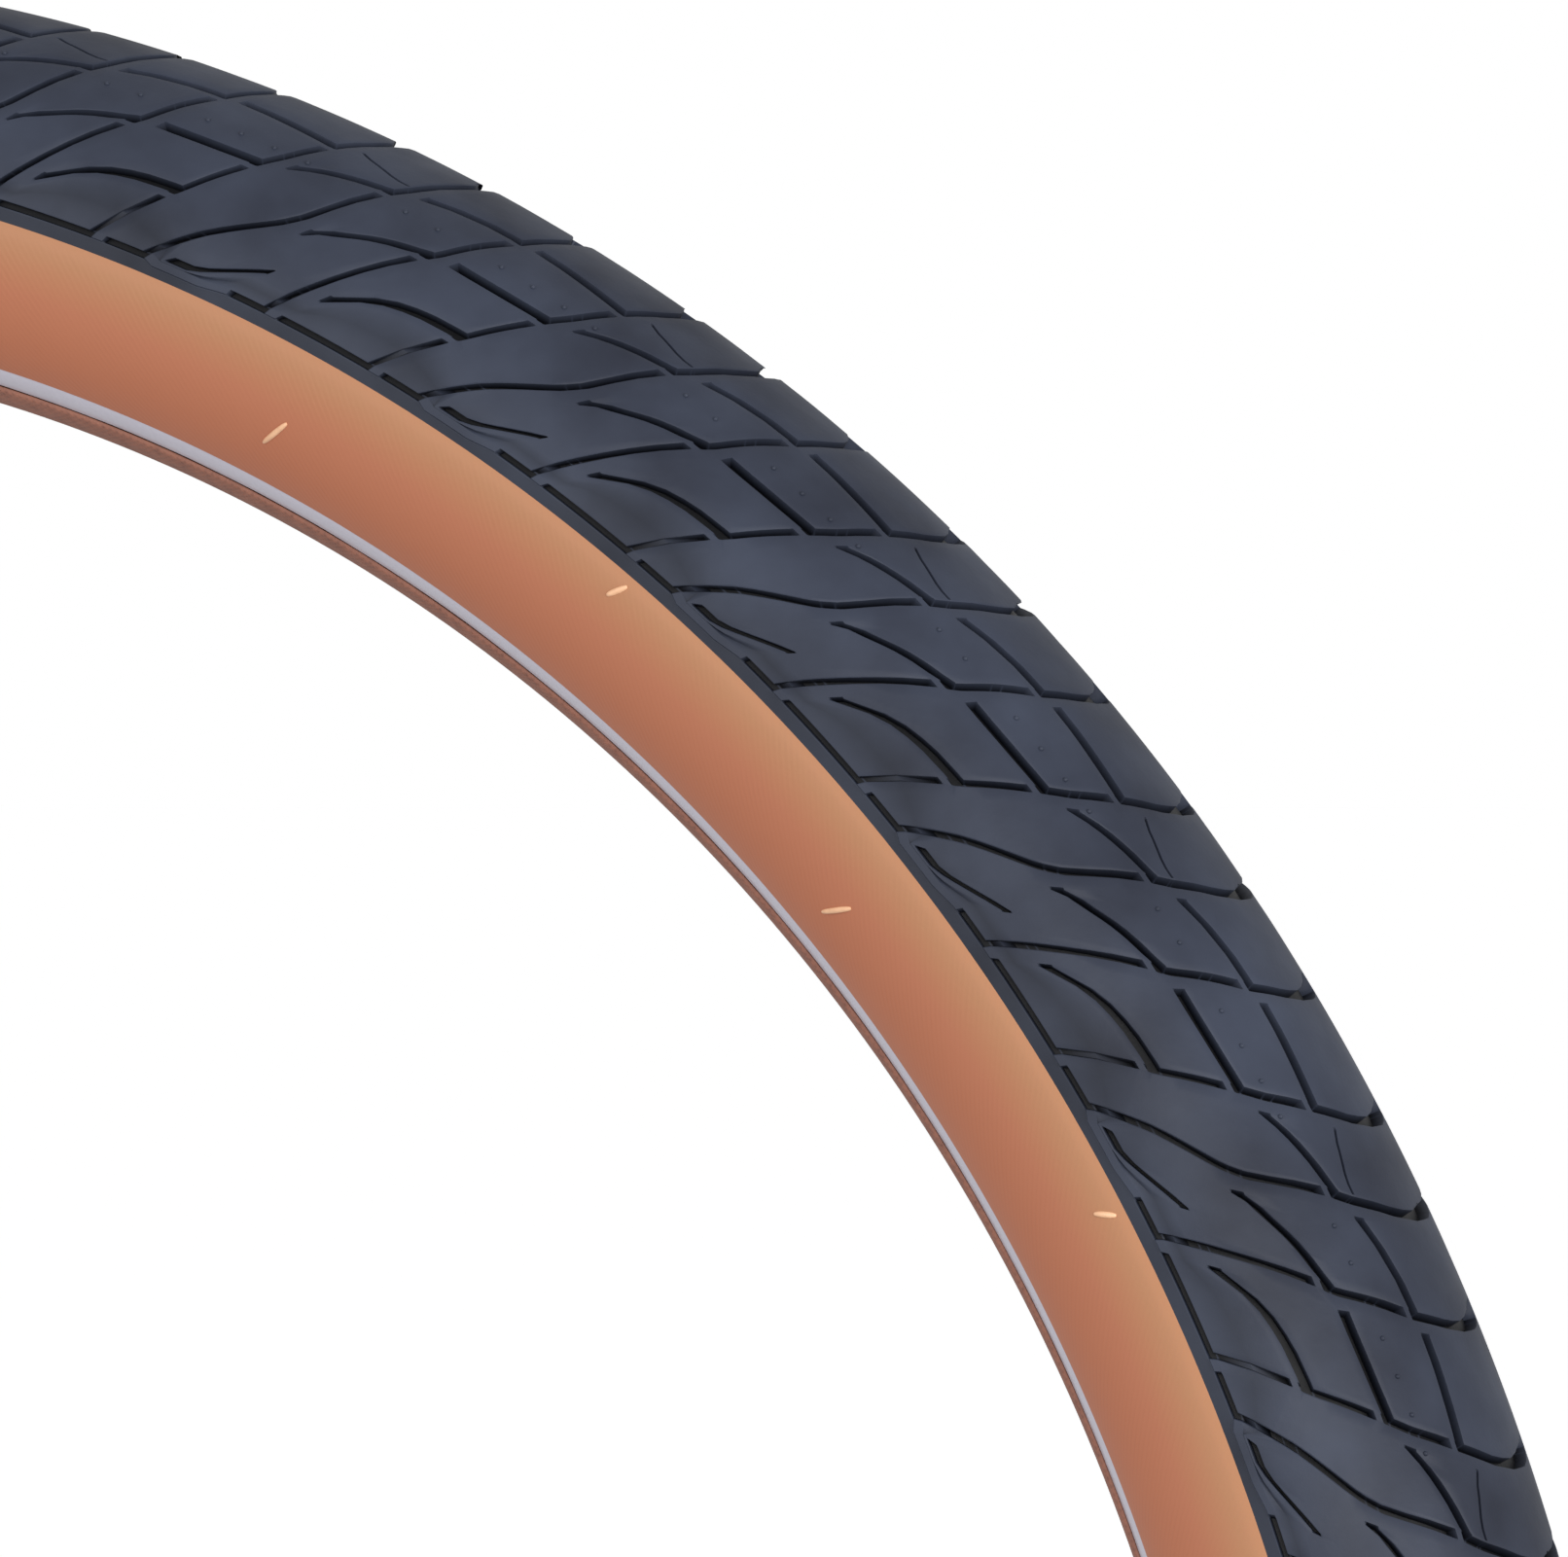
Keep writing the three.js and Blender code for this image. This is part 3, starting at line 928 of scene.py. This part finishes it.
class TYRE_OT_sidewalls(bpy.types.Operator):
    """Adds the tan rubber skins of both sidewalls, recessed at their feet for the strips"""
    bl_idname = "tyre.sidewalls"
    bl_label = "Add Sidewalls"

    def execute(self, context):
        sizes = context.scene.tyre_sizes
        material = material_once("tan sidewall rubber", tan_rubber, sizes, context.scene.tyre_colours)
        start = -BORDER_LAP / sizes.sidewall_arc
        turns = np.linspace(start, sizes.sidewall_turn - TAPE_LAP / sizes.sidewall_arc, 28)
        edge = BORDER_DIP * np.exp(-(turns - start) * sizes.sidewall_arc / BORDER_FADE)
        lowest = sizes.strip_width - STRIP_MARGIN
        section = np.concatenate([
            sidewall(sizes, turns, edge),
            foot(sizes, np.array([-TAPE_LAP, 0.0, lowest]), STRIP + GAP),
            flank(sizes, np.array([lowest]), SKIN),
            sidewall(sizes, np.maximum(turns, 0)[::-3], SKIN)])
        for label, side in SIDES:
            skin = add_ring(context, f"sidewall_skin_{label}", section, material, side, 720)
            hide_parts(f"sidewall_{label}")
        return {"FINISHED"}


class TYRE_OT_strips(bpy.types.Operator):
    """Adds the reflective strips, whose edges wander slightly as laid tape does"""
    bl_idname = "tyre.strips"
    bl_label = "Add Reflective Strips"

    def execute(self, context):
        sizes = context.scene.tyre_sizes
        material = material_once("retroreflective tape", reflective_tape, context.scene.tyre_colours)
        steps = 720
        angle = 2 * math.pi * np.arange(steps) / steps
        wander = 0.07 * MM * (np.sin(37 * angle) + np.sin(61 * angle + 1) + 0.7 * np.sin(143 * angle + 2))
        upper = STRIP_MARGIN - TAPE_LAP + wander
        lower = sizes.strip_width - STRIP_MARGIN + 0.6 * wander[::-1]
        swell = 0.12 * MM
        outline = [(0, 0.1 * MM), (0.06, 0), (0.5, -swell), (0.94, 0), (1, 0.1 * MM), (1, STRIP), (0, STRIP)]
        section = np.stack([foot(sizes, upper + share * (lower - upper), depth)
                            for share, depth in outline], axis=1)
        for label, side in SIDES:
            tape = add_ring(context, f"reflective_tape_{label}", section, material, side, steps)
            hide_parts(f"reflective_strip_{label}")
        return {"FINISHED"}


class TYRE_OT_beads(bpy.types.Operator):
    """Adds the chafer strips round the beads and the steel cores inside them"""
    bl_idname = "tyre.beads"
    bl_label = "Add Beads"

    def execute(self, context):
        sizes, colours = context.scene.tyre_sizes, context.scene.tyre_colours
        strip = material_once("rubbered chafer strip", chafer_strip, colours)
        wire = material_once("brassed steel wire", brassed_wire, colours)
        toe, side_y = sizes.toe_radius / MM, sizes.bead_side / MM
        corners = [
            (toe + 3.3, side_y), (toe + 2.6, side_y - 0.1), (toe + 1.4, side_y - 1.9), (toe, 10.2),
            (toe + 0.3, 9.0), (toe + 1.5, 8.5), (toe + 7, 8.6), (toe + 7, 9.3), (toe + 1.6, 9.3),
            (toe + 1.0, 10.3), (toe + 1.8, side_y - 2.0), (toe + 3.3, side_y - 0.8)]
        radii = np.array([0.2, 0.7, 1.6, 0.8, 0.6, 0.8, 0.3, 0.3, 0.3, 0.4, 0.4, 0.2]) * MM
        section = rounded(np.array(corners) * MM, radii)
        core_radius, core = 1.25 * MM, np.array([toe + 4.2, 12.0]) * MM
        steps, lay = 1200, 80
        round_core = np.linspace(0, 2 * math.pi, 36, endpoint=False)[None]
        twist = lay * 2 * math.pi * np.arange(steps)[:, None] / steps
        # Six strands laid in a rope: radius = core + amplitude * |cos(3 (angle - twist))|
        reach = core_radius + 0.15 * MM * np.abs(np.cos(3 * (round_core - twist)))
        cable = core + np.stack([reach * np.cos(round_core), reach * np.sin(round_core)], -1)
        for label, side in SIDES:
            wrap = add_ring(context, f"chafer_wrap_{label}", section, strip, side, 540)
            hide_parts(f"bead_chafer_{label}")
            hoop = add_ring(context, f"bead_cable_{label}", cable, wire, side, steps)
            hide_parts(f"bead_core_{label}")
        return {"FINISHED"}


class TYRE_OT_casing(bpy.types.Operator):
    """Adds the casing ply, turned up round both beads, and the puncture belt over it"""
    bl_idname = "tyre.casing"
    bl_label = "Add Casing"

    def execute(self, context):
        sizes, colours = context.scene.tyre_sizes, context.scene.tyre_colours
        cord = material_once("rubbered nylon cord", rubbered_cord, colours)
        weave = material_once("woven belt cord", woven_belt, colours)
        inner = GAP + BELT + GAP
        outside = self.face(sizes, GAP, inner + PLY,
                            ((3.0, 14.1), (2.3, 13.2), (1.5, 10.3), (1.9, 9.65), (7.2, 9.75)))
        inside = self.face(sizes, GAP + PLY, inner,
                           ((3.3, 13.6), (2.8, 13.0), (2.05, 10.4), (2.2, 10.15), (6.8, 10.25)))
        # Over the crown from the right turned-up end to the left one, then back on the air side
        right = [1, -1]
        section = np.concatenate([
            inside * right, inside[::-1][1:], outside, (outside * right)[::-1][1:]])
        ply = add_ring(context, "casing_cords", section, cord)
        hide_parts("casing_ply")
        turns = np.linspace(-BELT_EDGE, BELT_EDGE, 17)
        band = np.concatenate([crown(sizes, turns, rubber(turns) + GAP),
                               crown(sizes, turns[::-1], rubber(turns) + GAP + BELT)])
        belt = add_ring(context, "woven_belt", band, weave)
        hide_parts("puncture_belt")
        return {"FINISHED"}

    @staticmethod
    def face(sizes, turned_up, across, bead):
        """The left half of one face of the ply: from its turned-up end under the tread's edge,
        down the sidewall, round the bead and back up to the middle of the crown."""
        crown_turns = np.linspace(TURN_UP_EDGE, math.pi / 2, 7)[:-1]
        side_turns = np.linspace(0, sizes.sidewall_turn, 12)
        up_turns = np.linspace(math.pi / 2, 0, 20)[1:]
        around_bead = np.array(bead) * MM + [sizes.toe_radius, 0]
        return np.concatenate([
            crown(sizes, crown_turns, rubber(crown_turns) + turned_up),
            sidewall(sizes, side_turns, SKIN + turned_up),
            flank(sizes, np.array([sizes.strip_width]), SKIN + turned_up),
            around_bead,
            sidewall(sizes, side_turns[::-1], SKIN + across),
            crown(sizes, up_turns, rubber(up_turns) + across)])


MARKS = 16  # in each row round the sidewall
MARK_GIRTH, MARK_HEIGHT = 0.3 * MM, 0.42 * MM


class TYRE_OT_marks(bpy.types.Operator):
    """Adds the small raised marks in two rows on each sidewall"""
    bl_idname = "tyre.marks"
    bl_label = "Add Mould Marks"

    def execute(self, context):
        sizes = context.scene.tyre_sizes
        material = material_once("pale moulded gum", raised_rubber, context.scene.tyre_colours)
        # Each row is (first angle, distance of its middle from the widest place, half a mark's length)
        every = 2 * math.pi / MARKS
        widest = sizes.outer_radius - sizes.crown_height
        rows = ((math.radians(41.2), 14.5 * MM, 2.9 * MM), (math.radians(52.0), 2.6 * MM, 1.6 * MM))
        along = np.linspace(0.15, math.pi - 0.15, 11)
        across = np.linspace(0, 2 * math.pi, 10, endpoint=False)
        for label, side in SIDES:
            vertices, uvs = [], []
            for first, middle, half in rows:
                angle = first + every * np.arange(MARKS)[:, None, None]
                reach = -np.cos(along)[None, :, None]
                girth = np.sin(along)[None, :, None] ** 0.5
                distance = middle + half * reach + MARK_GIRTH * girth * np.cos(across)
                turn = angle + (0.0045 * reach * half / (2.2 * MM)
                                - 0.0012 * girth * np.cos(across))
                height = MARK_HEIGHT * girth * np.sin(across)
                place = sidewall(sizes, distance / sizes.sidewall_arc, -height)
                vertices.append(around(place * [1, side], turn).reshape(-1, 3))
                uvs.append(np.stack(np.broadcast_arrays(turn * widest, distance), -1).reshape(-1, 2))
            faces = tube_copies(2 * MARKS, len(along), len(across), side)
            marks = add_piece(context, f"mould_marks_{label}", np.concatenate(vertices), faces,
                              np.concatenate(uvs)[np.concatenate(faces)], material)
        return {"FINISHED"}


class TYRE_OT_stage(bpy.types.Operator):
    """Adds the floor, the lights, the sky and the camera"""
    bl_idname = "tyre.stage"
    bl_label = "Add Stage"

    def execute(self, context):
        scene = context.scene
        stage, colours = scene.tyre_stage, scene.tyre_colours
        self.floor(context, studio_paper(colours))
        self.light(context, "key", (1.9, -2.5, 1.0), 1.6, 48)
        self.light(context, "fill", (-1.2, -3.0, 0.8), 2.4, 40)
        self.light(context, "side", (3.0, -0.9, 0.1), 1.5, 58)
        scene.world = self.backdrop()
        scene.view_settings.view_transform = "Standard"
        camera_data = bpy.data.cameras.new("camera")
        camera_data.sensor_width = 36
        camera_data.lens = stage.lens
        camera_data.clip_end = 200
        camera = bpy.data.objects.new("camera", camera_data)
        level = stage.camera_distance
        camera.location = (level * math.sin(stage.camera_azimuth),
                           -level * math.cos(stage.camera_azimuth), stage.camera_height)
        aim = Vector((stage.aim_x, 0, stage.aim_z)) - camera.location
        camera.rotation_euler = aim.to_track_quat("-Z", "Y").to_euler()
        scene.collection.objects.link(camera)
        scene.camera = camera
        return {"FINISHED"}

    @staticmethod
    def backdrop():
        """A white surround for the eye that lights the tyre only softly."""
        world = bpy.data.worlds.new("studio")
        world.use_nodes = True
        tree = world.node_tree
        soft = tree.nodes["Background"]
        soft.inputs["Color"].default_value = (1, 1, 1, 1)
        soft.inputs["Strength"].default_value = 0.55
        white = add(tree, "ShaderNodeBackground", {"Color": (1, 1, 1, 1), "Strength": 1.0})
        seen = add(tree, "ShaderNodeLightPath").outputs["Is Camera Ray"]
        both = add(tree, "ShaderNodeMixShader", {
            0: seen, 1: soft.outputs["Background"], 2: white.outputs["Background"]})
        tree.links.new(both.outputs["Shader"], tree.nodes["World Output"].inputs["Surface"])
        return world

    @staticmethod
    def floor(context, material):
        """A level disc under the tyre, wide enough to reach the horizon."""
        angle = np.linspace(0, 2 * math.pi, 48, endpoint=False)
        ground = CAD_BOX[0][2] - 0.5 * MM
        rim = np.stack([60 * np.cos(angle), 60 * np.sin(angle), np.full(48, ground)], -1)
        mesh = bpy.data.meshes.new("floor")
        mesh.from_pydata(rim.tolist(), [], [list(range(48))])
        mesh.materials.append(material)
        floor = bpy.data.objects.new("floor", mesh)
        context.scene.collection.objects.link(floor)
        floor.visible_diffuse = False
        floor.visible_glossy = False

    @staticmethod
    def light(context, name, place, size, power):
        """A square soft light at that place, facing the tyre's centre."""
        data = bpy.data.lights.new(name, "AREA")
        data.size = size
        data.energy = power
        lamp = bpy.data.objects.new(name, data)
        lamp.location = place
        lamp.rotation_euler = (-Vector(place)).to_track_quat("-Z", "Y").to_euler()
        context.scene.collection.objects.link(lamp)


PIECE_OPERATORS = (TYRE_OT_tread, TYRE_OT_sidewalls, TYRE_OT_strips, TYRE_OT_beads, TYRE_OT_casing,
                   TYRE_OT_marks, TYRE_OT_stage)


class TYRE_PT_panel(bpy.types.Panel):
    """Lists the tyre's pieces"""
    bl_idname = "TYRE_PT_panel"
    bl_label = "Bicycle Tyre"
    bl_space_type = "VIEW_3D"
    bl_region_type = "UI"
    bl_category = "Tyre"

    def draw(self, context):
        for operator in PIECE_OPERATORS:
            self.layout.operator(operator.bl_idname)
        for group in (context.scene.tyre_sizes, context.scene.tyre_colours, context.scene.tyre_stage):
            box = self.layout.box()
            for name in group.__annotations__:
                box.prop(group, name)


GROUPS = (("tyre_sizes", TyreSizes), ("tyre_colours", TyreColours), ("tyre_stage", TyreStage))


def register():
    for name, group in GROUPS:
        bpy.utils.register_class(group)
        setattr(bpy.types.Scene, name, PointerProperty(type=group))
    for operator in PIECE_OPERATORS:
        bpy.utils.register_class(operator)
    bpy.utils.register_class(TYRE_PT_panel)


def unregister():
    bpy.utils.unregister_class(TYRE_PT_panel)
    for operator in reversed(PIECE_OPERATORS):
        bpy.utils.unregister_class(operator)
    for name, group in reversed(GROUPS):
        delattr(bpy.types.Scene, name)
        bpy.utils.unregister_class(group)


def main():
    register()
    bpy.ops.tyre.stage()
    bpy.ops.tyre.tread()
    bpy.ops.tyre.sidewalls()
    bpy.ops.tyre.strips()
    bpy.ops.tyre.beads()
    bpy.ops.tyre.casing()
    bpy.ops.tyre.marks()


if __name__ == "__main__":
    main()
